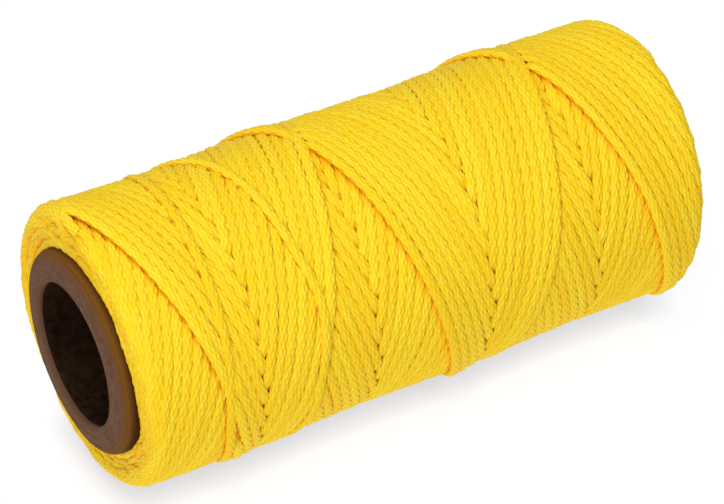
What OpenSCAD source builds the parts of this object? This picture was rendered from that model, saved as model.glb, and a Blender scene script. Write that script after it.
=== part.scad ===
// A roll of braided line, cross-wound on a spiral-wound paperboard core.
// Millimetres. The roll lies on its side: X runs along the core, Z is up,
// and the origin is the middle of the core's bore.

/* [Core] */
// Bore of the core, which goes over a one inch spindle
bore_d = 25.4; // [20:0.1:30]
// Length of the core
core_l = 112; // [90:1:160]
// Thickness of the smooth ply that lines the bore
liner_t = 0.6; // [0.4:0.1:1.2]
// Thickness of each board ply in the wall
ply_t = 0.82; // [0.4:0.02:1]
// Thickness of the ply wrapped round the outside
wrap_t = 0.6; // [0.4:0.1:1.2]
// Rounding of the outer edge at each end of the core
core_edge_r = 1.3; // [0.5:0.1:2]
// Bevel round each mouth of the bore
lip = 0.3; // [0.1:0.1:0.6]

/* [Line] */
// Width of the braided line, which its winding tension flattens
line_w = 1.8; // [1.2:0.1:2.2]
// Thickness of the flattened line
line_t = 1.1; // [0.8:0.1:1.6]
// Diameter of the full roll, over the passes that lie on top
roll_d = 50.4; // [46:0.2:80]
// Bare core beside the winding at the near end
near_bare = 2.2; // [1:0.1:8]
// Bare core beside the winding at the far end
far_bare = 1.8; // [1:0.1:8]
// Rounding of the under layers at the near end
near_shoulder_r = 1.8; // [0.5:0.1:4]
// Rounding of the under layers at the far end
far_shoulder_r = 3.6; // [0.5:0.1:6]
// How far the outer layer stops short of the far end
far_setback = 1.6; // [0:0.1:6]

/* [Cross winding] */
// Passes of the outer layer out along the roll and back
cycles = 5; // [2:1:5]
// Whole turns nearest to one pass out and back
cycle_turns = 5; // [3:1:5]
// Part of a turn in which the line swings back at each end
reversal = 0.3; // [0.2:0.05:0.5]
// Part of a turn in which it climbs over the passes that lie below
climb = 0.12; // [0.08:0.01:0.2]
// Clearance between passes that cross
pass_gap = 0.45; // [0.42:0.01:1]
// Where the outer layer begins, in degrees from the top towards the front
start_angle = -120; // [-165:15:180]

/* [Hidden] */
$fn = 96;
sides = 6;             // of the line's section
rings = 24;            // of the line in each turn
arc_steps = 8;         // of each rounded edge
gap_steps = 6;         // points measured in each ring's length
flat_part = 0.05;      // of the line's width and thickness, pressed flat where the roll stands
same = 0.01;           // radii no further apart than this are one
core_color = "#6f5040";
face_color = "#8a6f62";
line_color = "#f7c815";
under_color = "#e8ad10";

ply_count = 5;
bore_r = bore_d / 2;
plies_r = bore_r + liner_t;
wrap_r = plies_r + ply_count * ply_t;
core_r = wrap_r + wrap_t;

near_x = near_bare - core_l / 2;
far_x = core_l / 2 - far_bare;

half_ring = 180 / rings;
upper_r = roll_d / 2 / cos(half_ring) - line_t / 2;
lower_r = upper_r - (line_t + pass_gap) / cos(half_ring);
under_r = (lower_r - line_t / 2) * cos(half_ring);
stand_z = -roll_d / 2 + flat_part * (line_w + line_t);

turns_out_and_back = cycle_turns - 1 / cycles;
first_x = near_x + line_w / 2;
stroke = far_x - far_setback - line_w / 2 - first_x;
pitch = 2 * stroke / (turns_out_and_back - reversal);
slant = norm([pitch, 2 * PI * upper_r]) / (2 * PI * upper_r);
ring_count = cycles * turns_out_and_back * rings - 2 * ceil(climb * rings);

// Turns a shape that stands on Z to lie along X.
module along_x() {
    rotate([0, 90, 0]) children();
}

// ---- Core ----

// Where the core's end lies at radius r: bevelled at the bore, rounded at the rim.
function rim_drop(r) = core_edge_r - sqrt(max(0, core_edge_r ^ 2 - (r - core_r + core_edge_r) ^ 2));
function core_end(r) =
    core_l / 2
    - max(0, bore_r + lip - r)
    - (r > core_r - core_edge_r ? rim_drop(r) : 0);

// Radii at which that end changes direction.
end_radii = concat(
    [bore_r + lip],
    [for (i = [0:arc_steps]) core_r - core_edge_r * (1 - sin(90 * i / arc_steps))]
);

// One ply of the wall, from its inner to its outer radius.
module ply(inner_r, outer_r) {
    between = [for (r = end_radii) if (r > inner_r + same && r < outer_r - same) r];
    radii = concat([inner_r], between, [outer_r]);
    last = len(radii) - 1;
    far_side = [for (i = [0:last]) [radii[i], core_end(radii[i])]];
    near_side = [for (i = [last:-1:0]) [radii[i], -core_end(radii[i])]];
    along_x() rotate_extrude() polygon(concat(far_side, near_side));
}

module core_liner() {
    color(core_color) ply(bore_r, plies_r);
}

module core_ply(number) {
    inner_r = plies_r + (number - 1) * ply_t;
    color(face_color) ply(inner_r, inner_r + ply_t);
}

module core_wrap() {
    color(core_color) ply(wrap_r, core_r);
}

// ---- Line ----

// The layers of line below the outer one, as one sleeve with a shoulder at each end.
module line_under_layers() {
    depth = under_r - core_r;
    near_r = min(near_shoulder_r, depth);
    far_r = min(far_shoulder_r, depth);
    quarter = [for (i = [0:arc_steps]) 90 * i / arc_steps];
    near_arc = [for (a = quarter) [under_r - near_r * (1 - cos(90 - a)), near_x + near_r * (1 - cos(a))]];
    far_arc = [for (a = quarter) [under_r - far_r * (1 - cos(a)), far_x - far_r * (1 - sin(a))]];
    color(under_color)
        along_x()
            rotate_extrude()
                polygon(concat([[core_r, near_x]], near_arc, far_arc, [[core_r, far_x]]));
}

// The outer layer is one length of line that runs out along the roll and back again.
// Time is counted in turns round the roll, and t = 0 is a reversal at the near end.

// Turns since the last reversal at the near end, or, below zero, until the next one.
function since_near(t) = t - turns_out_and_back * round(t / turns_out_and_back);

// What rounds a reversal off, a given part of a turn away from it.
function swing(away) = pitch / reversal * max(0, reversal / 2 - away) ^ 2;

// Place along the roll.
function line_x(t) =
    let (away = abs(since_near(t)))
    first_x + pitch * (away - reversal / 4) + swing(away) - swing(turns_out_and_back / 2 - away);

// A smooth step from 0 to 1 as u goes from -1/2 to 1/2.
function smooth_step(u) = let (c = max(0, min(1, u + 0.5))) c * c * (3 - 2 * c);

// Distance from the axis: passes out lie low, passes back lie over them.
function line_level(t) =
    let (s = since_near(t), far = turns_out_and_back / 2)
    abs(s) < far / 2 ? smooth_step(-s / climb) : smooth_step((s - sign(s) * far) / climb);
function line_r(t) = lower_r + (upper_r - lower_r) * line_level(t);

function line_turn(i) = (i + ceil(climb * rings)) / rings;
function around(x, r, angle) = [x, -r * sin(angle), r * cos(angle)];
function line_angle(t) = start_angle + half_ring + 360 * t;
function line_centre(t) = around(line_x(t), line_r(t), line_angle(t));

// Corners of the section at a turn, none of them below the flat that the roll stands on.
function line_ring(t) = [
    for (k = [0:sides - 1])
        let (
            a = 360 * k / sides,
            x = line_x(t) + slant * line_w / 2 * cos(a),
            p = around(x, line_r(t) + line_t / 2 * sin(a) / sin(360 / sides), line_angle(t))
        )
        [p.x, p.y, max(p.z, stand_z)]
];

module line_outer_layer() {
    last = ring_count - 1;
    corners = [for (i = [0:last]) each line_ring(line_turn(i))];
    walls = [
        for (i = [0:last - 1], k = [0:sides - 1])
            let (a = i * sides + k, b = i * sides + (k + 1) % sides)
            each [[a, b, a + sides], [b, b + sides, a + sides]]
    ];
    first_cap = [for (k = [1:sides - 2]) [0, k + 1, k]];
    last_cap = [for (k = [1:sides - 2]) [last * sides, last * sides + k, last * sides + k + 1]];
    color(line_color) polyhedron(corners, concat(walls, first_cap, last_cap));
}

// Least gap between the outer layer's line and itself, measured between points on its
// centre line that lie whole turns apart, each with the line's width and thickness round it.
function from_axis(p) = norm([p.y, p.z]);
function gap_between(p, q) =
    let (rise = abs(from_axis(p) - from_axis(q)), aside = abs(p.x - q.x))
    norm([max(0, rise - line_t), max(0, aside - slant * line_w)]);
gap_points = [
    for (i = [0:ring_count - 2])
        let (a = line_centre(line_turn(i)), b = line_centre(line_turn(i + 1)))
        for (j = [0:gap_steps - 1]) a + (b - a) * j / gap_steps
];
turn_points = rings * gap_steps;
least_gap = min([
    for (i = [0:len(gap_points) - 1], m = [1:floor(ring_count / rings)])
        let (j = i + m * turn_points)
        if (j < len(gap_points)) gap_between(gap_points[i], gap_points[j])
]);
echo(least_gap_mm = least_gap);  // line_outer_layer

core_liner();
core_ply(1);  // core_ply_1
core_ply(2);  // core_ply_2
core_ply(3);  // core_ply_3
core_ply(4);  // core_ply_4
core_ply(5);  // core_ply_5
core_wrap();
line_under_layers();
line_outer_layer();
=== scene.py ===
# A roll of yellow braided line, cross-wound on a paperboard core, lying on its side.
# Lengths are in millimetres until a mesh is made. Angles round the roll are counted from the top
# towards the front, and places along it from the near end of the core.
import math

import bpy
import numpy as np
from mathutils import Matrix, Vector


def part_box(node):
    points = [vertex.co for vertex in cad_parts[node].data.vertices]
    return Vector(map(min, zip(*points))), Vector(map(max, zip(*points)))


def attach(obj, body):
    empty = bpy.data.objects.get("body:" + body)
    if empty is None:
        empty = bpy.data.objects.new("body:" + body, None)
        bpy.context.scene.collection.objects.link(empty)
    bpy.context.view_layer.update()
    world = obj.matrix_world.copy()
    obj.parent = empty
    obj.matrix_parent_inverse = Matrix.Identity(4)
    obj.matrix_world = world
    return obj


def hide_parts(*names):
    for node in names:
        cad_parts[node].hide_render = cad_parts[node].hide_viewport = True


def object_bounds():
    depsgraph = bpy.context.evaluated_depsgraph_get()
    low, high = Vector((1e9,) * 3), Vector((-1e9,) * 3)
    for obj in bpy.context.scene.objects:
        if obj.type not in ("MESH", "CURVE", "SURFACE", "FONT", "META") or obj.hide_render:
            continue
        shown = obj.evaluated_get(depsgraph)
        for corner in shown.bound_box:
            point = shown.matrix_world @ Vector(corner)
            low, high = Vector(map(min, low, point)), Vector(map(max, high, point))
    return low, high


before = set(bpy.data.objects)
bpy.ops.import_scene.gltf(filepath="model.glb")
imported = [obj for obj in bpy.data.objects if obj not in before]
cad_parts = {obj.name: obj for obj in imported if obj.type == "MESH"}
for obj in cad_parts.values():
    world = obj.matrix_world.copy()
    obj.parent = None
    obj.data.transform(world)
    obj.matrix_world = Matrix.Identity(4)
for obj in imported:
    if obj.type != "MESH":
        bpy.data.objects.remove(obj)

cadLow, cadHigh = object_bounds()
mm = 0.001
floorZ = cadLow.z / mm
nearFace = cadLow.x / mm        # the core's two cut ends
farFace = cadHigh.x / mm
print("frame loaded, box", [round(v / mm, 2) for v in (*cadLow, *cadHigh)])


def addObject(name, data):
    # puts new data into the scene as an object at the origin
    thing = bpy.data.objects.new(name, data)
    bpy.context.scene.collection.objects.link(thing)
    return thing


# camera: the roll's near end points to the left
cameraSettings = dict(
    turn=-30.87,            # degrees round the roll
    rise=38.16,             # degrees above the floor
    lookAt=49.71,           # place along the roll that it looks at
    distance=600,
    aside=4.68,             # of the lens, to the right of the point looked at
    above=1.15,
    lens=174.8,
    clip=(10, 20000),       # nearest and furthest that it sees
)


def addCamera(s):
    # the lens stands back from a point on the axis, in the direction that turn and rise give
    turn, rise = math.radians(s["turn"]), math.radians(s["rise"])
    level = math.cos(rise)
    back = Vector((math.sin(turn) * level, -math.cos(turn) * level, math.sin(rise)))
    right = Vector((math.cos(turn), math.sin(turn), 0))
    up = back.cross(right)
    data = bpy.data.cameras.new("camera")
    data.lens = s["lens"]
    data.clip_start, data.clip_end = (reach * mm for reach in s["clip"])
    camera = addObject("camera", data)
    aim = Vector((nearFace + s["lookAt"], 0, 0))
    camera.location = (aim + back * s["distance"] + right * s["aside"] + up * s["above"]) * mm
    camera.rotation_euler = (-back).to_track_quat("-Z", "Y").to_euler()
    bpy.context.scene.camera = camera


addCamera(cameraSettings)
print("camera placed")


# shape helpers

def fraction(a):
    # what is left over the whole number below
    return a - np.floor(a)


def smoothNoise(count, every, seed):
    # random heights every so many samples, joined by a smooth curve through them
    knots = np.random.default_rng(seed).standard_normal(count // every + 5)
    t = np.arange(count) / every
    i = t.astype(int)
    f = t - i
    a, b, c, d = knots[i], knots[i + 1], knots[i + 2], knots[i + 3]
    return b + 0.5 * f * (c - a + f * (2 * a - 5 * b + 4 * c - d + f * (3 * (b - c) + d - a)))


def ringNoise(angles, waves, seed):
    # a sum of sines round a circle, each with a whole number of waves, so that it closes
    r = np.random.default_rng(seed)
    total = np.zeros_like(angles)
    for n in waves:
        total = total + r.standard_normal() * np.sin(n * angles + r.uniform(0, 2 * math.pi))
    return total / math.sqrt(len(waves))


def blur(values, width):
    # running mean with soft ends, over an odd number of samples
    kernel = np.hanning(width + 2)[1:-1]
    padded = np.pad(values, width // 2, mode="edge")
    return np.convolve(padded, kernel / kernel.sum(), "valid")


def meshObject(name, points, quads, caps, uv, fields, material):
    # points in mm; quads and caps are arrays of corners; uv follows the corners in that order
    mesh = bpy.data.meshes.new(name)
    corners = np.concatenate([quads.ravel(), caps.ravel()]).astype(np.int32)
    sizes = np.concatenate([np.full(len(quads), 4), np.full(len(caps), caps.shape[1])])
    starts = np.concatenate([[0], np.cumsum(sizes)[:-1]]).astype(np.int32)
    mesh.vertices.add(len(points))
    mesh.vertices.foreach_set("co", (points * mm).astype(np.float32).ravel())
    mesh.loops.add(len(corners))
    mesh.loops.foreach_set("vertex_index", corners)
    mesh.polygons.add(len(sizes))
    mesh.polygons.foreach_set("loop_start", starts)
    mesh.update(calc_edges=True)
    mesh.polygons.foreach_set("use_smooth", np.arange(len(sizes)) < len(quads))
    if uv is not None:
        layer = mesh.uv_layers.new(name="UVMap")
        layer.data.foreach_set("uv", uv.astype(np.float32).ravel())
    for label, values in fields.items():
        attribute = mesh.attributes.new(label, "FLOAT", "POINT")
        attribute.data.foreach_set("value", values.astype(np.float32).ravel())
    mesh.materials.append(material)
    mesh.validate()
    return addObject(name, mesh)


noCaps = np.zeros((0, 3), int)


def triangles(piece):
    # each face of n corners counts as n - 2
    mesh = piece.data
    return len(mesh.loops) - 2 * len(mesh.polygons)


# node helpers

class Wiring:
    # short calls for adding nodes to one tree; all but put return what the node puts out
    def __init__(self, tree):
        self.tree = tree

    def put(self, socket, value):
        if isinstance(value, bpy.types.NodeSocket):
            self.tree.links.new(value, socket)
        else:
            socket.default_value = value

    def math(self, kind, a, b=None, c=None):
        node = self.tree.nodes.new("ShaderNodeMath")
        node.operation = kind
        for socket, value in zip(node.inputs, (a, b, c)):
            if value is not None:
                self.put(socket, value)
        return node.outputs[0]

    def remap(self, value, fromLow, fromHigh, toLow, toHigh):
        node = self.tree.nodes.new("ShaderNodeMapRange")
        self.put(node.inputs["Value"], value)
        node.inputs["From Min"].default_value = fromLow
        node.inputs["From Max"].default_value = fromHigh
        node.inputs["To Min"].default_value = toLow
        node.inputs["To Max"].default_value = toHigh
        return node.outputs["Result"]

    def mix(self, factor, a, b):
        node = self.tree.nodes.new("ShaderNodeMix")
        node.data_type = "RGBA"
        self.put(node.inputs["Factor"], factor)
        self.put(node.inputs[6], a)
        self.put(node.inputs[7], b)
        return node.outputs[2]

    def noise(self, vector, scale, detail=2.0, roughness=0.5, stretch=None):
        if stretch is not None:
            scaling = self.tree.nodes.new("ShaderNodeVectorMath")
            scaling.operation = "MULTIPLY"
            self.put(scaling.inputs[0], vector)
            scaling.inputs[1].default_value = stretch
            vector = scaling.outputs[0]
        node = self.tree.nodes.new("ShaderNodeTexNoise")
        self.put(node.inputs["Vector"], vector)
        self.put(node.inputs["Scale"], scale)
        node.inputs["Detail"].default_value = detail
        node.inputs["Roughness"].default_value = roughness
        return node.outputs["Fac"]

    def bump(self, height, strength, distance):
        node = self.tree.nodes.new("ShaderNodeBump")
        node.inputs["Strength"].default_value = strength
        node.inputs["Distance"].default_value = distance * mm
        self.put(node.inputs["Height"], height)
        return node.outputs["Normal"]

    def split(self, vector):
        node = self.tree.nodes.new("ShaderNodeSeparateXYZ")
        self.put(node.inputs[0], vector)
        return node.outputs[0], node.outputs[1], node.outputs[2]

    def place(self):
        # coordinates of the object itself
        return self.tree.nodes.new("ShaderNodeTexCoord").outputs["Object"]

    def attribute(self, label):
        node = self.tree.nodes.new("ShaderNodeAttribute")
        node.attribute_name = label
        return node.outputs["Fac"]

    def group(self, tree, **values):
        node = self.tree.nodes.new("ShaderNodeGroup")
        node.node_tree = tree
        for label, value in values.items():
            self.put(node.inputs[label], value)
        return node.outputs


def newGroup(name, inputs, outputs):
    # a node group with its wiring, what it is given and what it has to make
    group = bpy.data.node_groups.new(name, "ShaderNodeTree")
    for label, kind in inputs:
        group.interface.new_socket(label, in_out="INPUT", socket_type=kind)
    for label in outputs:
        group.interface.new_socket(label, in_out="OUTPUT", socket_type="NodeSocketFloat")
    given = group.nodes.new("NodeGroupInput").outputs
    made = group.nodes.new("NodeGroupOutput").inputs
    return group, Wiring(group), given, made


def newMaterial(name):
    # a material with its wiring and the inputs of its shader
    material = bpy.data.materials.new(name)
    material.use_nodes = True
    shader = material.node_tree.nodes["Principled BSDF"].inputs
    return material, Wiring(material.node_tree), shader


# the line's section, which its winding tension flattens, and its braid
section = dict(
    halfWide=0.915,
    halfThick=0.64,
    square=2.15,            # 2 is an oval, and more is squarer
    strands=6,              # in each of the two families that cross
    strandTurn=15.6,        # length of line in which a strand goes once round
    strandDip=0.55,         # how much lower a strand lies where it dives
    lumpMiddle=0.6,         # height of a strand that keeps the line as thick as it is
    turnOver=0.35,          # how far the line turns over, in turns, and over how many samples
    turnEvery=700,
    plump=0.035,            # how much rounder or flatter it gets, and over how many samples
    plumpEvery=55,
    toneEvery=240,
    seeds=(61, 62, 63),     # of the turning over, the plumpness and the tone
)

lineFinish = dict(
    bright=(0.90, 0.62, 0.0, 1),
    # pale: partly the fibres' own paler colour, partly painted highlight
    pale=(0.92, 0.775, 0.07, 1),
    # shade: painted shade in the grooves between strands, also the darker end of the random tone
    shade=(0.86, 0.47, 0.0, 1),     # in the grooves between strands
    # deep: painted shade where passes dive under each other and on the lower side of the line
    deep=(0.95, 0.34, 0.0, 1),      # where passes dive under each other
    filaments=(46.0, 15.0, 1.0),    # round the line, and along one turn of a strand
    filamentHeight=0.35,
    blotchSize=1100.0,
    paleFilaments=1.8,      # share of the pale colour from the filaments and the blotches
    paleBlotches=1.2,
    paleLess=-1.1,
    groove=0.75,
    grooveEdge=1.6,
    tone=0.3,
    roughness=(0.49, 0.65),
    specular=0.06,
    sheen=0.03,
    sheenRoughness=0.4,
    sheenTint=(1.0, 0.85, 0.3, 1),
    bump=0.5,
    bumpHeight=0.12,
)


def braidPattern(s):
    # Two families of slanted strands, each over one and under one of the other.
    # U goes once round the line in 1, and V once along a full turn of a strand in 1.
    # Height = a round strand, lower where it dives, with fine filaments along it.
    group, w, given, made = newGroup(
        "braidPattern",
        [("UV", "NodeSocketVector"), ("Strands", "NodeSocketFloat")],
        ["Height", "GrooveShade", "Fibre"],
    )
    u, v = w.split(given["UV"])[:2]
    p = w.math("MULTIPLY", w.math("ADD", u, v), given["Strands"])
    q = w.math("MULTIPLY", w.math("SUBTRACT", u, v), given["Strands"])
    cell = w.math("ADD", w.math("FLOOR", p), w.math("FLOOR", q))
    odd = w.math("MODULO", w.math("ABSOLUTE", cell), 2.0)
    even = w.math("SUBTRACT", 1.0, odd)
    partP, partQ = w.math("FRACT", p), w.math("FRACT", q)
    across = w.math("ADD", w.math("MULTIPLY", partP, odd), w.math("MULTIPLY", partQ, even))
    along = w.math("ADD", w.math("MULTIPLY", partQ, odd), w.math("MULTIPLY", partP, even))
    offAcross = w.math("MULTIPLY_ADD", across, 2.0, -1.0)
    offAlong = w.math("MULTIPLY_ADD", along, 2.0, -1.0)
    crown = w.math("SUBTRACT", 1.0, w.math("MULTIPLY", offAcross, offAcross))
    dive = w.math("MULTIPLY", w.math("MULTIPLY", offAlong, offAlong), section["strandDip"])
    roundness = w.math("SQRT", w.math("MAXIMUM", crown, 0.0))
    strand = w.math("MULTIPLY", roundness, w.math("SUBTRACT", 1.0, dive))
    fibre = w.noise(given["UV"], 1.0, 3.0, 0.6, s["filaments"])
    w.put(made["Height"], w.math("MULTIPLY_ADD", fibre, s["filamentHeight"], strand))
    # the groove mask drives painted shade in the material
    w.put(made["GrooveShade"], w.math("POWER", w.math("SUBTRACT", 1.0, strand), s["grooveEdge"]))
    w.put(made["Fibre"], fibre)
    return group


def yellowLine(s):
    # paler along filaments and in blotches, partly painted highlight; painted shade in grooves,
    # deepest where passes dive
    material, w, shader = newMaterial("yellow_braid")
    uv = w.tree.nodes.new("ShaderNodeUVMap")
    uv.uv_map = "UVMap"
    braid = w.group(braidPattern(s), UV=uv.outputs["UV"], Strands=section["strands"])
    blotch = w.noise(w.place(), s["blotchSize"], 3.0)
    # where the pale colour shows, along filaments and in blotches: partly painted highlight
    light = w.math("MULTIPLY_ADD", blotch, s["paleBlotches"], s["paleLess"])
    light = w.math("MULTIPLY_ADD", braid["Fibre"], s["paleFilaments"], light)
    light = w.math("MAXIMUM", w.math("MINIMUM", light, 1.0), 0.0)
    color = w.mix(light, s["bright"], s["pale"])
    # painted shade in the grooves between strands
    color = w.mix(w.math("MULTIPLY", braid["GrooveShade"], s["groove"]), color, s["shade"])
    color = w.mix(w.math("MULTIPLY", w.attribute("tone"), s["tone"]), color, s["shade"])
    # painted shade where passes dive under and on the lower side of the line
    w.put(shader["Base Color"], w.mix(w.attribute("creaseShadeMask"), color, s["deep"]))
    w.put(shader["Roughness"], w.remap(blotch, 0.3, 0.7, *s["roughness"]))
    w.put(shader["Specular IOR Level"], s["specular"])
    w.put(shader["Sheen Weight"], s["sheen"])
    w.put(shader["Sheen Roughness"], s["sheenRoughness"])
    w.put(shader["Sheen Tint"], s["sheenTint"])
    w.put(shader["Normal"], w.bump(braid["Height"], s["bump"], s["bumpHeight"]))
    return material


lineMaterial = yellowLine(lineFinish)
print("line material made")


# The line runs out along the roll and back, a little over five turns for each such cycle.
# Out: x grows by one pitch in each turn. Back: it shrinks by as much.
winding = dict(
    pitch=43.94,            # advance in one turn
    turns=5.04,             # in one cycle, out and back
    cycles=25,              # in one full cover
    covers=3,               # from the outside in
    coverStep=2.4,          # how much smaller each cover's radius is
    nearTip=0.04,           # where the slants would meet if the turns at the ends were sharp
    ridgeAt=44.5,           # a place on the newest pass out, and its angle
    ridgeDeg=-11.6,
    peak=24.53,             # radius of the newest pass's middle
    ridge=1.0,              # how far one cover pulls the oldest passes in
    thick=1.15,             # of the line where it crosses itself
    leastR=18.62,           # of a pass that lies on the core
    steps=380,              # samples in each turn
    dive=9,                 # samples in which it goes over or under
    nearRound=[(0.165, 0.205), (0.19, 0.22), (0.19, 0.22)],     # turns in which it swings back,
    farRound=[(0.085, 0.115), (0.10, 0.13), (0.12, 0.15)],      # least and most, for each cover
    nearEnd=2.05,           # where the middle of the outermost tips lies
    farEnd=109.5,
    nearShoulder=(2.1, 1.5),        # length and drop of the rounded shoulder at each end
    farShoulder=(2.3, 1.7),
    nearSkew=(0.27, 180, 0.27),     # how far each end is out of square, at which angle,
    farSkew=(0.9, -30, 0.1),        # and how far the whole end is set in
    skewReach=15,
    shingle=0.15,           # how far the turns at the ends are drawn in over each other
    proud=0.7,              # how much higher the newest passes out stand, where they cross over
    proudPasses=4,
    proudTips=0.35,         # share of that for the tips in between
    sunk=2,                 # newest passes out that begin under the passes in
    sunkReach=0.4,          # and for how many turns
    wander=0.07,            # unevenness of its place, and over how many samples
    wanderEvery=(34, 10),
    jiggle=0.045,           # unevenness of its radius, and over how many samples
    jiggleEvery=18,
    hollowDeg=112,          # the turns next to the core stand back here
    hollow=0.8,
    hollowWide=22,
    seeds=dict(ends=40, jiggle=27, wander=(7, 17)),
    shownLevel=0.03,        # passes that lie lower than this between the ends are hidden
    tipPart=0.9,            # part of the turn at each end that always shows
)


def age(w, at, deg):
    # how many covers ago the topmost line was laid at a place, from 0 to 1
    u = (at - w["ridgeAt"]) / w["pitch"]
    t = (deg - w["ridgeDeg"]) / 360
    farU = (w["nearTip"] - w["ridgeAt"]) / w["pitch"] + w["turns"] / 2
    return np.minimum(fraction(u - t), fraction(2 * farU - u - t))


def shoulder(away, size):
    # a quarter of an ellipse: drop and lean of the surface at a distance from the end
    length, drop = size
    steepest = 0.97
    u = np.clip(1 - away / length, 0, steepest)
    root = np.sqrt(1 - u ** 2)
    return drop * (1 - root), np.degrees(np.arctan(drop / length * u / root))


def skew(away, deg, reach, size):
    # a cosine round the roll, which fades with the distance from the end
    most, angle, shift = size
    wave = shift + most * np.cos(np.radians(deg - angle))
    return wave * np.clip(1 - away / reach, 0, 1)


def passOrder(w, reach, outward, back):
    # Passes out and in cross twice in each turn. How far along the line is between two crossings
    # says how many cycles lie between the two passes there, and so which of them is newer.
    step = 1 / w["cycles"]
    offset = step / 2
    least = offset + 0.0001
    g = fraction(np.clip(2 * reach, least, w["turns"] - least) - offset)
    over = np.where(outward, g >= step * (back + 1), g < step * (w["cycles"] - back))
    under = np.where(outward, step * (back + 0.5) - g, step * (back - 0.5) + g - 1)
    # the newest passes out begin under the passes in
    early = reach < w["sunkReach"]
    sunk = early & outward & (back < w["sunk"])
    sunkOver = g < step * (w["cycles"] + w["sunk"] - back)
    over = np.where(early & ~outward, sunkOver, over) & ~sunk
    topAge = np.where(over, back * step, np.clip(under + sunk, 0, 1))
    # the newest stand proud, and so does what lies under them
    behind = np.maximum(topAge * w["cycles"] - early * outward * w["sunk"], 0)
    raised = np.where(outward == over, 1.0, w["proudTips"] * early) * ~sunk
    stand = w["proud"] * np.clip(1 - behind / w["proudPasses"], 0, 1) * raised
    return over, topAge, stand


def coverPath(w, cover):
    # Path of one full cover: place = pitch times the turns since the near end, rounded off at the
    # tips. Radius = peak, less what the age, the crossing pass and the shoulders take from it.
    perCycle, half = w["turns"], w["turns"] / 2
    last = w["cycles"] * perCycle
    count = int(round(last * w["steps"])) + 1
    turn = np.arange(count) / w["steps"] - last
    cyclesBack = -np.floor(turn / perCycle + 1e-9) - 1
    back = np.clip(cyclesBack, 0, w["cycles"] - 1).astype(int)
    since = turn + (back + 1) * perCycle
    outward = since < half
    reach = np.clip(np.minimum(since, perCycle - since), 0, half)
    picker = np.random.default_rng(w["seeds"]["ends"] + cover)
    nearRound = picker.uniform(*w["nearRound"][cover], w["cycles"] + 1)
    farRound = picker.uniform(*w["farRound"][cover], w["cycles"])
    tn = nearRound[np.where(outward, back + 1, back)]
    tf = farRound[back]
    toNear = np.minimum(1, reach / (tn / 2))
    toFar = np.minimum(1, (half - reach) / (tf / 2))
    p = w["pitch"]
    nearSwing = p * tn / 4 * (1 - toNear) ** 2
    farSwing = p * tf / 4 * (1 - toFar) ** 2
    at = w["nearTip"] + p * reach + nearSwing - farSwing
    deg = w["ridgeDeg"] + 360 * (turn + perCycle + (w["nearTip"] - w["ridgeAt"]) / p)

    over, topAge, stand = passOrder(w, reach, outward, back)
    level = blur(over.astype(float), w["dive"])
    nearDrop, nearLean = shoulder(at - w["nearEnd"], w["nearShoulder"])
    farDrop, farLean = shoulder(w["farEnd"] - at, w["farShoulder"])
    r = w["peak"] - w["coverStep"] * cover
    r = r - w["ridge"] * blur(topAge, w["dive"]) - w["thick"] * (1 - level)
    if cover == 0:
        r = r + blur(stand, w["dive"])
    jiggle = smoothNoise(count, w["jiggleEvery"], w["seeds"]["jiggle"] + cover)
    r = r - nearDrop - farDrop + w["jiggle"] * jiggle

    at = at + w["shingle"] * (toFar - toNear)
    (slow, quick), (slowSeed, quickSeed) = w["wanderEvery"], w["seeds"]["wander"]
    wander = smoothNoise(count, slow, slowSeed + cover)
    wander = wander + 0.5 * smoothNoise(count, quick, quickSeed + cover)
    at = at + w["wander"] * wander
    at = at + skew(at - w["nearEnd"], deg, w["skewReach"], w["nearSkew"])
    at = at + skew(w["farEnd"] - at, deg, w["skewReach"], w["farSkew"])
    if cover:
        r = np.maximum(r, w["leastR"])
        offset = np.mod(deg - w["hollowDeg"] + 180, 360) - 180
        hollow = w["hollow"] * np.exp(-(offset / w["hollowWide"]) ** 2)
        at = at + hollow * (1 - toNear) * (cover / 2)
    return dict(x=nearFace + at, r=r, deg=deg, tilt=farLean - nearLean, level=level,
                toNear=toNear, toFar=toFar)


# the line's last turns, which cross the cover on a way of their own
lastLap = dict(
    # angle, and place along the roll
    deg=[-1.5, 57.5, 107.7, 131.7, 157.5, 329.3, 339.2, 358.4, 373.8, 399.3, 420.5, 437.7,
         452.7, 470.7, 558, 637, 696, 719.5, 755.2, 789.6, 807.7, 823.7, 858, 918, 934],
    place=[3.0, 3.2, 3.4, 4.2, 6.3, 27.1, 28.7, 30.5, 31.7, 33.0, 34.5, 33.9,
           32.9, 32.2, 26.3, 21.6, 18.6, 18.0, 17.1, 16.1, 15.6, 15.8, 18.0, 24.2, 26.8],
    placeSoft=(21, 13),     # samples over which the corners of that list are rounded
    liftDeg=[-1.5, 40, 150, 225],
    lift=[0.0, -1.3, -1.3, 0.3],    # of its middle over the middle of the passes below
    liftSoft=31,
    cant=14,                # degrees by which its near edge stands up where it is lifted
    ageSoft=25,
    wander=0.06,
    wanderEvery=30,
    seed=90,
    tuckDeg=903,            # where its end starts to go under the next pass
    tuckLong=22,            # degrees that it takes for that
    tuck=1.1,
    press=0.62,             # how far it presses the passes below in
    reach=1.25,             # how far to each side it does so
    pressSoft=7,
)


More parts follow.
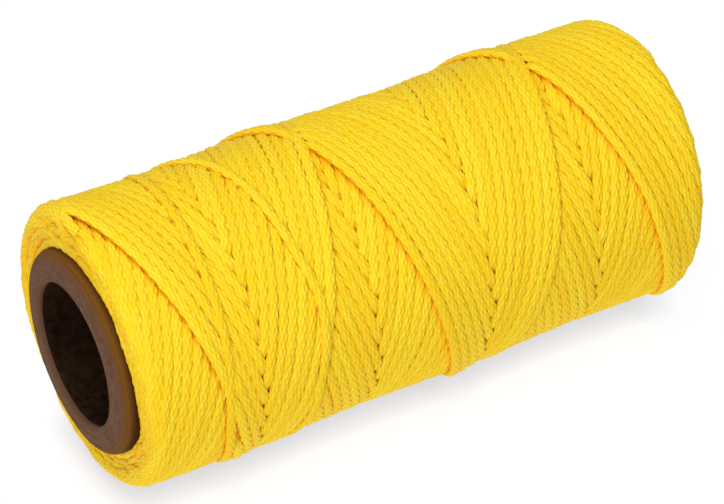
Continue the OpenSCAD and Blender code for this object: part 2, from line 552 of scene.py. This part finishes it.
def lapPath(w, s):
    # place = smoothed list; radius = radius of the passes below + lift
    count = int((s["deg"][-1] - s["deg"][0]) / 360 * w["steps"])
    deg = np.linspace(s["deg"][0], s["deg"][-1], count)
    at = np.interp(deg, s["deg"], s["place"])
    for width in s["placeSoft"]:
        at = blur(at, width)
    at = at + s["wander"] * smoothNoise(count, s["wanderEvery"], s["seed"])
    lift = blur(np.interp(deg, s["liftDeg"], s["lift"]), s["liftSoft"])
    drop, lean = shoulder(at - w["nearEnd"], w["nearShoulder"])
    r = w["peak"] - w["ridge"] * blur(age(w, at, deg), s["ageSoft"]) + lift - drop
    r = r - s["tuck"] * np.clip((deg - s["tuckDeg"]) / s["tuckLong"], 0, 1)
    one = np.ones(count)
    tilt = s["cant"] * np.clip(lift / max(s["lift"]), 0, 1) - lean
    return dict(x=nearFace + at, r=r, deg=deg, tilt=tilt, level=one,
                toNear=one, toFar=one, lift=lift)


def pressUnder(path, lap, s):
    # the passes below sink as a bell curve of their distance from the last lap that crosses them
    turnAngle = np.mod(path["deg"], 360)
    sink = np.zeros(len(turnAngle))
    for extra in range(-1, 3):
        at = turnAngle + 360 * extra
        inside = (at > lap["deg"][0]) & (at < lap["deg"][-1])
        lapX = np.interp(at, lap["deg"], lap["x"])
        weight = np.clip(np.interp(at, lap["deg"], lap["lift"]) / max(s["lift"]), 0, 1) * inside
        sink = np.maximum(sink, weight * np.exp(-((path["x"] - lapX) / s["reach"]) ** 2))
    path["r"] = path["r"] - s["press"] * blur(sink, s["pressSoft"])


def onFloor(path):
    # nothing hangs lower than what the roll stands on: radius times the cosine from straight
    # down is at most the axis's height less the line's half thickness
    down = np.cos(np.radians(path["deg"] - 180))
    least = 0.3
    most = (-floorZ - section["halfThick"]) / np.maximum(down, least)
    path["r"] = np.where(down > least, np.minimum(path["r"], most), path["r"])


def tubeFrames(path):
    # middle of the line, the two directions of its section, and the length so far at each sample
    angle = np.radians(path["deg"])
    centre = np.stack([path["x"], -path["r"] * np.sin(angle), path["r"] * np.cos(angle)], 1)
    tangent = np.gradient(centre, axis=0)
    tangent /= np.linalg.norm(tangent, axis=1)[:, None]
    tilt = np.radians(path["tilt"])
    flat = np.cos(tilt)
    outward = np.stack([np.sin(tilt), -flat * np.sin(angle), flat * np.cos(angle)], 1)
    side = np.cross(outward, tangent)
    side /= np.linalg.norm(side, axis=1)[:, None]
    outward = np.cross(tangent, side)
    stretches = np.linalg.norm(np.diff(centre, axis=0), axis=1)
    return centre, side, outward, np.concatenate([[0], np.cumsum(stretches)])


def braidHeight(u, v):
    # the same two families of strands as in the material: 0 in a groove, 1 on a lump
    p, q = section["strands"] * (u + v), section["strands"] * (u - v)
    odd = np.mod(np.floor(p) + np.floor(q), 2) > 0.5
    across = np.where(odd, fraction(p), fraction(q)) * 2 - 1
    along = np.where(odd, fraction(q), fraction(p)) * 2 - 1
    return np.sqrt(np.maximum(0, 1 - across ** 2)) * (1 - section["strandDip"] * along ** 2)


def rounded(angle):
    # half width and half thickness of the line at an angle round its section:
    # an oval squared off a little
    power = 2 / section["square"]
    c, s = np.cos(angle), np.sin(angle)
    wide = np.sign(c) * np.abs(c) ** power * section["halfWide"]
    return wide, np.sign(s) * np.abs(s) ** power * section["halfThick"]


def shareAround(angles):
    # share of the section's outline that lies before each angle
    fine = np.linspace(0, 2 * math.pi, 721)
    wide, thick = rounded(fine)
    walls = np.concatenate([[0], np.cumsum(np.hypot(np.diff(wide), np.diff(thick)))])
    return np.interp(angles, fine, walls / walls[-1])


def tubeFaces(runs, skip, n):
    # each run is a ring of n corners for every so many samples: quads join each ring to the
    # next, and a cap closes each end
    samples, quads, caps = [], [], []
    start = 0
    k = np.arange(n)
    k2 = (k + 1) % n
    for first, lastOne in runs:
        index = np.arange(first, lastOne + 1, skip)
        i = np.arange(len(index) - 1)[:, None] * n + start
        quads.append(np.stack([i + k, i + k2, i + n + k2, i + n + k], -1).reshape(-1, 4))
        caps.append(np.stack([start + k[::-1], start + (len(index) - 1) * n + k]))
        samples.append(index)
        start += len(index) * n
    return samples, np.concatenate(quads), np.concatenate(caps)


def tubeUv(samples, around, v):
    # u = share of the way round the section, v = share of a strand's turn along the line
    uv = []
    for index in samples:
        u0, u1 = around[index, :-1], around[index, 1:]
        tall = np.broadcast_to(v[index, None], u0.shape)
        low, high = tall[:-1], tall[1:]
        corners = (u0[:-1], low), (u1[:-1], low), (u1[1:], high), (u0[1:], high)
        uv.append(np.stack([np.stack(pair, -1) for pair in corners], 2).reshape(-1, 2))
    return np.concatenate(uv)


# painted shade: how far the deep colour shows, on the lower side of the line and on passes that go
# under
creaseShade = dict(
    lowFrom=0.3,
    lowRise=0.9,
    low=0.8,
    underTips=0.18,
    underPasses=0.45,
)


def creaseShadeAt(s, path, index, height):
    # painted shade mask: a slope down the section, darkest below, plus a share of how far the pass
    # lies under others
    low = np.clip(s["lowFrom"] - s["lowRise"] * height, 0, 1)[None, :] * s["low"]
    between = (path["toNear"] * path["toFar"])[index] ** 2
    under = (1 - path["level"][index]) * (s["underTips"] + s["underPasses"] * between)
    return np.clip(low + under[:, None], 0, 1)


# Each grade of tube: corners over its outer half and its hidden one, samples for each ring, height
# of the braid's lumps, size against the full section, and samples added at the ends of a stretch.
grades = dict(
    shown=dict(above=16, below=6, skip=1, lump=0.32, shrink=1.0, margin=4),
    hidden=dict(above=5, below=3, skip=3, lump=0.0, shrink=0.97, margin=3),
    deep=dict(above=10, below=8, skip=2, lump=0.32, shrink=1.0, margin=8),
)


def tubes(name, path, runs, grade):
    # each run of samples is a closed tube: section = rounded oval, plus the lumps of the braid
    centre, side, outward, length = tubeFrames(path)
    upper = np.linspace(0, math.pi, grade["above"], endpoint=False)
    lower = np.linspace(math.pi, 2 * math.pi, grade["below"], endpoint=False)
    corners = np.concatenate([upper, lower])
    c, s = np.cos(corners), np.sin(corners)
    samples, quads, caps = tubeFaces(runs, grade["skip"], len(corners))
    count = len(length)
    turnSeed, plumpSeed, toneSeed = section["seeds"]
    turnOver = section["turnOver"] * smoothNoise(count, section["turnEvery"], turnSeed)
    plump = 1 + section["plump"] * smoothNoise(count, section["plumpEvery"], plumpSeed)
    tone = 0.5 + 0.5 * smoothNoise(count, section["toneEvery"], toneSeed)
    around = np.append(shareAround(corners), 1)[None, :] + turnOver[:, None]
    v = length / section["strandTurn"]
    uv = np.concatenate([tubeUv(samples, around, v), np.zeros((caps.size, 2))])

    index = np.concatenate(samples)
    lump = braidHeight(around[index, :-1], v[index, None]) - section["lumpMiddle"]
    bulge = grade["lump"] * lump
    normal = np.stack([c / section["halfWide"], s / section["halfThick"]])
    normal /= np.linalg.norm(normal, axis=0)
    wide, thick = rounded(corners)
    grow = plump[index, None]
    a = wide * grade["shrink"] * grow + normal[0] * bulge
    b = thick * grade["shrink"] / grow + normal[1] * bulge
    points = centre[index, None] + side[index, None] * a[..., None]
    points = points + outward[index, None] * b[..., None]
    points[..., 2] = np.maximum(points[..., 2], floorZ)
    # mask of the painted shade, kept as an attribute for the material
    creaseShadeMask = creaseShadeAt(creaseShade, path, index, s)
    fields = dict(creaseShadeMask=creaseShadeMask, tone=np.repeat(np.clip(tone[index], 0, 1), len(corners)))
    return meshObject(name, points.reshape(-1, 3), quads, caps, uv, fields, lineMaterial)


def runsOf(flags):
    # first and last sample of each unbroken stretch
    edges = np.diff(np.concatenate([[0], flags.astype(int), [0]]))
    return list(zip(np.nonzero(edges > 0)[0], np.nonzero(edges < 0)[0] - 1))


def widen(flags, by):
    # flags every sample that lies within so many of a flagged one
    return np.convolve(flags.astype(int), np.ones(2 * by + 1, int), "same") > 0


def shareOut(runs, most):
    # packs runs into lots of at most so many samples
    lots, size = [[]], 0
    for first, lastOne in runs:
        while lastOne - first + 1 > most:
            cut = first + most
            lots.append([(first, cut)])
            first = cut
        if size + lastOne - first + 1 > most:
            lots.append([])
            size = 0
        lots[-1].append((first, lastOne))
        size += lastOne - first + 1
    return [lot for lot in lots if lot]


linePieces = []
mostTriangles = 190000          # in one piece


def laySome(label, path, flags, grade):
    # lays the flagged stretches of a path as numbered pieces
    corners = grade["above"] + grade["below"]
    most = int(mostTriangles / 2 / corners * grade["skip"])
    for number, lot in enumerate(shareOut(runsOf(flags), most), 1):
        linePieces.append(tubes(f"{label}_{number}", path, lot, grade))


def makeWinding(w, lapSettings):
    # the outer cover whole, the last lap over it, and of the deeper covers only their tips
    shownGrade, hiddenGrade, deepGrade = grades["shown"], grades["hidden"], grades["deep"]
    outer = coverPath(w, 0)
    lap = lapPath(w, lapSettings)
    pressUnder(outer, lap, lapSettings)
    onFloor(outer)
    onFloor(lap)
    atEnds = (outer["toNear"] < w["tipPart"]) | (outer["toFar"] < w["tipPart"])
    shown = widen((outer["level"] > w["shownLevel"]) | atEnds, shownGrade["margin"])
    laySome("outer_passes", outer, shown, shownGrade)
    laySome("under_passes", outer, widen(~shown, hiddenGrade["margin"]), hiddenGrade)
    linePieces.append(tubes("last_lap", lap, [(0, len(lap["x"]) - 1)], shownGrade))
    for cover in range(1, w["covers"]):
        path = coverPath(w, cover)
        atTips = (path["toNear"] < 1) | (path["toFar"] < 1)
        laySome(f"deep_passes_{cover}", path, widen(atTips, deepGrade["margin"]), deepGrade)
    counts = [triangles(piece) for piece in linePieces]
    print("winding made,", len(linePieces), "pieces,", sum(counts), "triangles, most in one",
          max(counts))


makeWinding(winding, lastLap)


def revolved(name, profile, steps, wobble, material):
    # profile: closed list of (x, r); every point is carried round the axis, with
    # wobble(x, r, angle) added
    profile = np.array(profile, float)
    n = len(profile)
    angle = np.linspace(0, 2 * math.pi, steps, endpoint=False)[:, None]
    x = np.repeat(profile[:, 0][None, :], steps, 0)
    r = np.repeat(profile[:, 1][None, :], steps, 0)
    dx, dr = wobble(x, r, angle)
    x, r = x + dx, r + dr
    points = np.stack([x, -r * np.sin(angle), r * np.cos(angle)], -1).reshape(-1, 3)
    i = np.arange(steps)[:, None]
    k = np.arange(n)
    i2, k2 = (i + 1) % steps, (k + 1) % n
    quads = np.stack([i * n + k, i * n + k2, i2 * n + k2, i2 * n + k], -1).reshape(-1, 4)
    return meshObject(name, points, quads, noCaps, None, {}, material)


# plain sleeve under the passes, seen only through the gaps between them; its yellows, darker and
# more orange than the line's own, are painted shade
sleeve = dict(
    r=21.6,
    near=3.6,
    far=108.7,
    nearRound=1.4,
    farRound=2.6,
    clear=0.03,             # gap between it and the core
    straight=(-40, 40),     # x of the first and last ring between its rounded ends
    rings=9,                # there, and in each rounded end
    steps=240,
    waves=9,
    wave=0.08,
    light=(0.75, 0.42, 0.0, 1),
    dark=(0.5, 0.2, 0.0, 1),
    grain=700.0,
    roughness=(0.6, 0.85),
)


def sleeveMaterial(s):
    # two deep yellows mixed by a fine noise; they are darker than the line's own yellow as painted
    # shade
    material, w, shader = newMaterial("deep_turns")
    grain = w.noise(w.place(), s["grain"], 3.0)
    w.put(shader["Base Color"], w.mix(grain, s["light"], s["dark"]))
    w.put(shader["Roughness"], w.remap(grain, 0.3, 0.7, *s["roughness"]))
    return material


def makeSleeve(s):
    # two quarter circles joined by straight walls, turned round the axis
    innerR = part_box("core_wrap")[1].z / mm + s["clear"]
    near, far = nearFace + s["near"], nearFace + s["far"]
    tight, wide = s["nearRound"], s["farRound"]
    arc = [(1 - math.cos(a), 1 - math.sin(a)) for a in np.linspace(0, math.pi / 2, s["rings"])]
    nearArc = [(near + tight * along, s["r"] - tight * down) for along, down in arc]
    farArc = [(far - wide * along, s["r"] - wide * down) for down, along in arc]
    middle = [(x, s["r"]) for x in np.linspace(*s["straight"], s["rings"])]
    profile = [(near, innerR)] + nearArc + middle + farArc + [(far, innerR)]

    def wobble(x, r, angle):
        return 0 * x, s["wave"] * np.sin(s["waves"] * angle + x) * (r > innerR + 0.5)

    return revolved("inner_turns", profile, s["steps"], wobble, sleeveMaterial(s))


linePieces.append(makeSleeve(sleeve))
for piece in linePieces:
    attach(piece, "root")
    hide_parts("line_outer_layer", "line_under_layers")
print("inner sleeve made")


# the core: a liner, five board plies and a wrap, each a tube with its own uneven cut ends
core = dict(
    boreR=12.7,
    boardPlies=5,
    edgeR=1.3,              # rounding of the outer edge
    lip=0.3,                # bevel at the bore
    crown=0.7,              # how far the cut end rises from the outer edge to the bore
    crownBack=0.15,         # how far the outer edge stands back from the end face
    steps=540,
    acrossSteps=9,          # over each ply's cut end
    wallEnd=52,             # x of the last ring of the even wall, and its rings where it is seen
    wallRings=27,
    endZone=2.0,            # length of each end that follows the cut
    endRing=0.6,            # from the start of that zone to the next ring
    wave=0.03,              # unevenness of the cut ends
    slowWaves=(2, 3, 5, 7),
    fuzzWaves=(23, 41, 67, 97, 139),
    seed=11,
    seamPitch=92.0,         # of the spiral joints in the liner and the wrap
    seamWide=0.006,         # in turns
    seamStep=0.07,
)

# colours, size of the grain, bump, painted shade beside the winding, and bare board on the cut
# face
boardFinish = dict(
    face=(0.128, 0.062, 0.032, 1),
    light=(0.175, 0.09, 0.052, 1),
    dark=(0.075, 0.033, 0.014, 1),
    size=1500.0, bump=0.5, windingShade=0.0, cut=0.0,
)
paperFinish = dict(
    face=(0.15, 0.058, 0.006, 1),
    light=(0.22, 0.092, 0.012, 1),
    dark=(0.04, 0.013, 0.001, 1),
    size=900.0, bump=0.45, windingShade=0.9, cut=0.0,
)
# the liner is dark brown, and its colours are darkened further with painted shade for the inside
# of the bore
linerFinish = dict(
    face=(0.014, 0.005, 0.0015, 1),
    light=(0.04, 0.017, 0.005, 1),
    dark=(0.003, 0.001, 0.0005, 1),
    size=700.0, bump=0.9, windingShade=0.0, cut=1.0,
)
# what all three papers share: where each effect starts and ends, from the cut end or the outside
paperWear = dict(
    windingShadeFrom=1.9,
    windingShadeTo=0.7,
    cutFrom=0.5,
    cutTo=0.3,
    stainFrom=2.4,
    stainTo=0.5,
    stain=0.85,
    fibreShare=0.8,
    blotchShare=0.35,
    roughness=(0.62, 0.9),
    specular=0.08,
    bumpHeight=0.15,
)


def paperGrain():
    # flecks, and short fibres drawn out round the core; height = a share of each
    group, w, given, made = newGroup(
        "paperGrain",
        [("Place", "NodeSocketVector"), ("Size", "NodeSocketFloat")],
        ["Fleck", "Fibre", "Blotch", "Height"],
    )
    place, size = given["Place"], given["Size"]
    fleck = w.noise(place, size, 4.0, 0.6)
    fibre = w.noise(place, size, 3.0, 0.55, (3.2, 0.8, 0.8))
    w.put(made["Fleck"], fleck)
    w.put(made["Fibre"], fibre)
    w.put(made["Blotch"], w.noise(place, w.math("MULTIPLY", size, 0.2), 2.0))
    w.put(made["Height"], w.math("ADD", w.math("MULTIPLY", fleck, 0.6),
                                 w.math("MULTIPLY", fibre, 0.4)))
    return group


grainGroup = paperGrain()


def paperMaterial(name, s, wear, coreR):
    # three browns mixed by the grain, then stained towards the rim and darkened with painted shade
    # beside the winding
    material, w, shader = newMaterial(name)
    place = w.place()
    grain = w.group(grainGroup, Place=place, Size=s["size"])
    color = w.mix(w.remap(grain["Fleck"], 0.35, 0.7, 0, 1), s["face"], s["light"])
    color = w.mix(w.remap(grain["Fibre"], 0.5, 0.75, 0, wear["fibreShare"]), color, s["dark"])
    color = w.mix(w.remap(grain["Blotch"], 0.4, 0.7, 0, wear["blotchShare"]), color, s["dark"])
    # the board takes the wrap's colour towards the rim
    x, y, z = w.split(place)
    radius = w.math("SQRT", w.math("ADD", w.math("MULTIPLY", y, y), w.math("MULTIPLY", z, z)))
    stain = w.remap(radius, (coreR - wear["stainFrom"]) * mm, (coreR - wear["stainTo"]) * mm,
                    0.0, wear["stain"])
    color = w.mix(stain, color, paperFinish["face"])
    # the liner's cut edge is board, and the wrap gets painted shade a little way in from each cut
    # end, beside the winding
    along = w.math("ABSOLUTE", x)
    cut = w.remap(along, (farFace - wear["cutFrom"]) * mm, (farFace - wear["cutTo"]) * mm,
                  0.0, s["cut"])
    color = w.mix(cut, color, boardFinish["face"])
    windingShade = w.remap(along, (farFace - wear["windingShadeFrom"]) * mm, (farFace - wear["windingShadeTo"]) * mm,
                   s["windingShade"], 0.0)
    w.put(shader["Base Color"], w.mix(windingShade, color, s["dark"]))
    w.put(shader["Roughness"], w.remap(grain["Fleck"], 0.3, 0.7, *wear["roughness"]))
    w.put(shader["Specular IOR Level"], wear["specular"])
    w.put(shader["Normal"], w.bump(grain["Height"], s["bump"], wear["bumpHeight"]))
    return material


def coreEnd(s, r, outerR):
    # where the cut end lies at radius r: bevelled at the bore, rounded at the rim,
    # and a little proud towards the bore
    away = np.maximum(0, r - outerR + s["edgeR"])
    rim = s["edgeR"] - np.sqrt(np.maximum(0, s["edgeR"] ** 2 - away ** 2))
    crown = s["crown"] * (outerR - r) / (outerR - s["boreR"]) - s["crownBack"]
    return farFace + crown - np.maximum(0, s["boreR"] + s["lip"] - r) - rim


def makePly(s, name, innerR, outerR, coreR, seed, material, fuzz):
    # profile = cut end across the ply + wall; the cut end is a little wavy, and a spiral seam
    # steps the free walls
    same, clear = 0.01, 0.1
    across = np.linspace(innerR, outerR, s["acrossSteps"])
    ends = coreEnd(s, across, coreR)
    inner = farFace - s["endZone"]
    nextIn = inner + s["endRing"]
    isBore, isSkin = innerR < s["boreR"] + same, outerR > coreR - same
    rings = s["wallRings"] if isBore or isSkin else 2
    even = np.linspace(-s["wallEnd"], s["wallEnd"], rings)
    wall = np.concatenate([[-nextIn, -inner], even, [inner, nextIn]])
    outside = [(x, outerR) for x in wall if abs(x) < ends[-1] - clear]
    inside = [(x, innerR) for x in wall[::-1] if abs(x) < ends[0] - clear]
    near = [(-e, r) for e, r in zip(ends, across)]
    far = [(e, r) for e, r in zip(ends[::-1], across[::-1])]

    def wobble(x, r, angle):
        atEnd = np.clip((np.abs(x) - inner) / s["endZone"], 0, 1)
        slow = ringNoise(angle, s["slowWaves"], seed) * s["wave"]
        quick = ringNoise(angle, s["fuzzWaves"], seed + 1) * fuzz
        dx = -np.sign(x) * atEnd * (s["wave"] * 2 + slow + quick)
        seam = fraction(angle / (2 * math.pi) + x / s["seamPitch"])
        step = np.exp(-(seam / s["seamWide"]) ** 2) + np.exp(-((1 - seam) / s["seamWide"]) ** 2)
        step = s["seamStep"] * step
        bore = isBore & (np.abs(r - innerR) < same)
        skin = isSkin & (np.abs(r - outerR) < same)
        return dx, step * bore - step * skin

    return revolved(name, near + outside + far + inside, s["steps"], wobble, material)


def makeCore(s):
    # each ply begins at the radius where the one inside it ends
    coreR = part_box("core_wrap")[1].z / mm
    board = paperMaterial("brown_board", boardFinish, paperWear, coreR)
    paper = paperMaterial("brown_wrap_paper", paperFinish, paperWear, coreR)
    liner = paperMaterial("dark_liner_paper", linerFinish, paperWear, coreR)
    # name, node, slot, material, and fuzz of the cut edge
    plies = [("bore_liner", "core_liner", "core_paper", liner, 0.02)]
    for i in range(1, s["boardPlies"] + 1):
        plies.append((f"board_ply_{i}", f"core_ply_{i}", "core_board", board, 0.008))
    plies.append(("outer_wrap", "core_wrap", "core_paper", paper, 0.01))
    innerR, total = s["boreR"], 0
    for number, (name, node, slot, material, fuzz) in enumerate(plies):
        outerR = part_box(node)[1].z / mm
        seed = s["seed"] + 3 * number
        piece = makePly(s, name, innerR, outerR, coreR, seed, material, fuzz)
        total += triangles(piece)
        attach(piece, "root")
        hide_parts(node)
        innerR = outerR
    print("core made,", len(plies), "plies,", total, "triangles")


makeCore(core)


studio = dict(
    floorSize=3000,
    floorColor=(0.24, 0.15, 0.09, 1),       # warm, so that the yellow roll's shadow on it is grey
    floorGlow=(0.81, 0.88, 0.93, 1),        # the floor glows; near the roll its glow is dimmed as a painted shadow
    shadowGlow=(0.44, 0.53, 0.60, 1),
    shadowReach=5.5,
    floorRoughness=0.8,
    world=(0.95, 0.97, 1.0, 1),
    worldStrength=0.34,
    lights=[
        # name, place, size, watts
        ("overhead", (-80, -60, 620), 420, 2.45),
        ("left_front", (-480, -420, 360), 360, 2.0),
    ],
)


def makeFloor(s):
    # one flat quad under the roll
    half = s["floorSize"] / 2
    points = np.array([[-half, -half, floorZ], [half, -half, floorZ],
                       [half, half, floorZ], [-half, half, floorZ]])
    material, w, shader = newMaterial("pale_floor")
    # painted shadow: ambient occlusion within a few mm dims the floor's glow near the roll
    paintedShadow = w.tree.nodes.new("ShaderNodeAmbientOcclusion")
    paintedShadow.inputs["Distance"].default_value = s["shadowReach"] * mm
    w.put(shader["Base Color"], s["floorColor"])
    w.put(shader["Emission Color"], w.mix(paintedShadow.outputs["AO"], s["shadowGlow"], s["floorGlow"]))
    w.put(shader["Emission Strength"], 1.0)
    w.put(shader["Roughness"], s["floorRoughness"])
    quad = np.array([[0, 1, 2, 3]])
    meshObject("floor", points, quad, noCaps, None, {}, material)


def makeStudio(s):
    # floor, a pale even sky, and round lights that all point at the roll
    makeFloor(s)
    world = bpy.data.worlds.new("studio")
    world.use_nodes = True
    sky = world.node_tree.nodes["Background"].inputs
    sky["Color"].default_value = s["world"]
    sky["Strength"].default_value = s["worldStrength"]
    bpy.context.scene.world = world
    for name, place, size, watts in s["lights"]:
        data = bpy.data.lights.new(name, "AREA")
        data.shape = "DISK"
        data.size = size * mm
        data.energy = watts
        light = addObject(name, data)
        light.location = Vector(place) * mm
        light.rotation_euler = (-Vector(place)).to_track_quat("-Z", "Y").to_euler()
    bpy.context.scene.view_settings.view_transform = "Standard"


makeStudio(studio)
print("studio lit")
